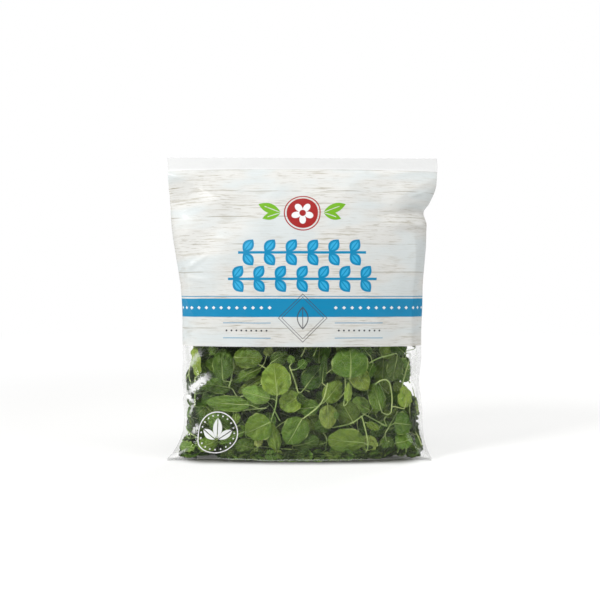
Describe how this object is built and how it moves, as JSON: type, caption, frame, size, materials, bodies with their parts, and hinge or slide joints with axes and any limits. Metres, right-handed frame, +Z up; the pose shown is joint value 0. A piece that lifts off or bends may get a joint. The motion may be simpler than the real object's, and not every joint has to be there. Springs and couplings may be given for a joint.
{
  "type": "bag of watercress",
  "caption": "Sealed clear and printed film pillow bag, standing on its folded base, filled with loose leafy watercress sprigs.",
  "frame": {"origin": "on the surface the bag stands on, under the middle of its bounding box", "axes": "+Z up to the top seal, +X to the right as the printed front is seen, +Y from the front to the back"},
  "size_m": [0.2164, 0.071, 0.2425],
  "materials": {
    "film": "thin clear packaging film with a printed upper part, glossy and creased",
    "leaf_mid": "fresh leaf, soft sheen",
    "leaf_dark": "fresh leaf, soft sheen",
    "leaf_light": "fresh leaf, soft sheen"
  },
  "bodies": {
    "root": {"bag_film": "film", "sprig_01": "leaf_mid", "sprig_02": "leaf_dark", "sprig_03": "leaf_light", "sprig_04": "leaf_mid", "sprig_05": "leaf_dark", "sprig_06": "leaf_light", "sprig_07": "leaf_mid", "sprig_08": "leaf_dark", "sprig_09": "leaf_light", "sprig_10": "leaf_mid", "sprig_11": "leaf_dark", "sprig_12": "leaf_light", "sprig_13": "leaf_mid", "sprig_14": "leaf_dark", "sprig_15": "leaf_light", "sprig_16": "leaf_mid", "sprig_17": "leaf_dark", "sprig_18": "leaf_light", "sprig_19": "leaf_mid", "sprig_20": "leaf_dark", "sprig_21": "leaf_light", "sprig_22": "leaf_mid", "sprig_23": "leaf_dark", "sprig_24": "leaf_light", "sprig_25": "leaf_mid", "sprig_26": "leaf_dark", "sprig_27": "leaf_light", "sprig_28": "leaf_mid", "sprig_29": "leaf_dark", "sprig_30": "leaf_light", "sprig_31": "leaf_mid", "sprig_32": "leaf_dark", "sprig_33": "leaf_light", "sprig_34": "leaf_mid", "sprig_35": "leaf_dark", "sprig_36": "leaf_light", "sprig_37": "leaf_mid", "sprig_38": "leaf_dark", "sprig_39": "leaf_light", "sprig_40": "leaf_mid", "sprig_41": "leaf_dark", "sprig_42": "leaf_light", "sprig_43": "leaf_mid", "sprig_44": "leaf_dark", "sprig_45": "leaf_light"}
  },
  "joints": []
}
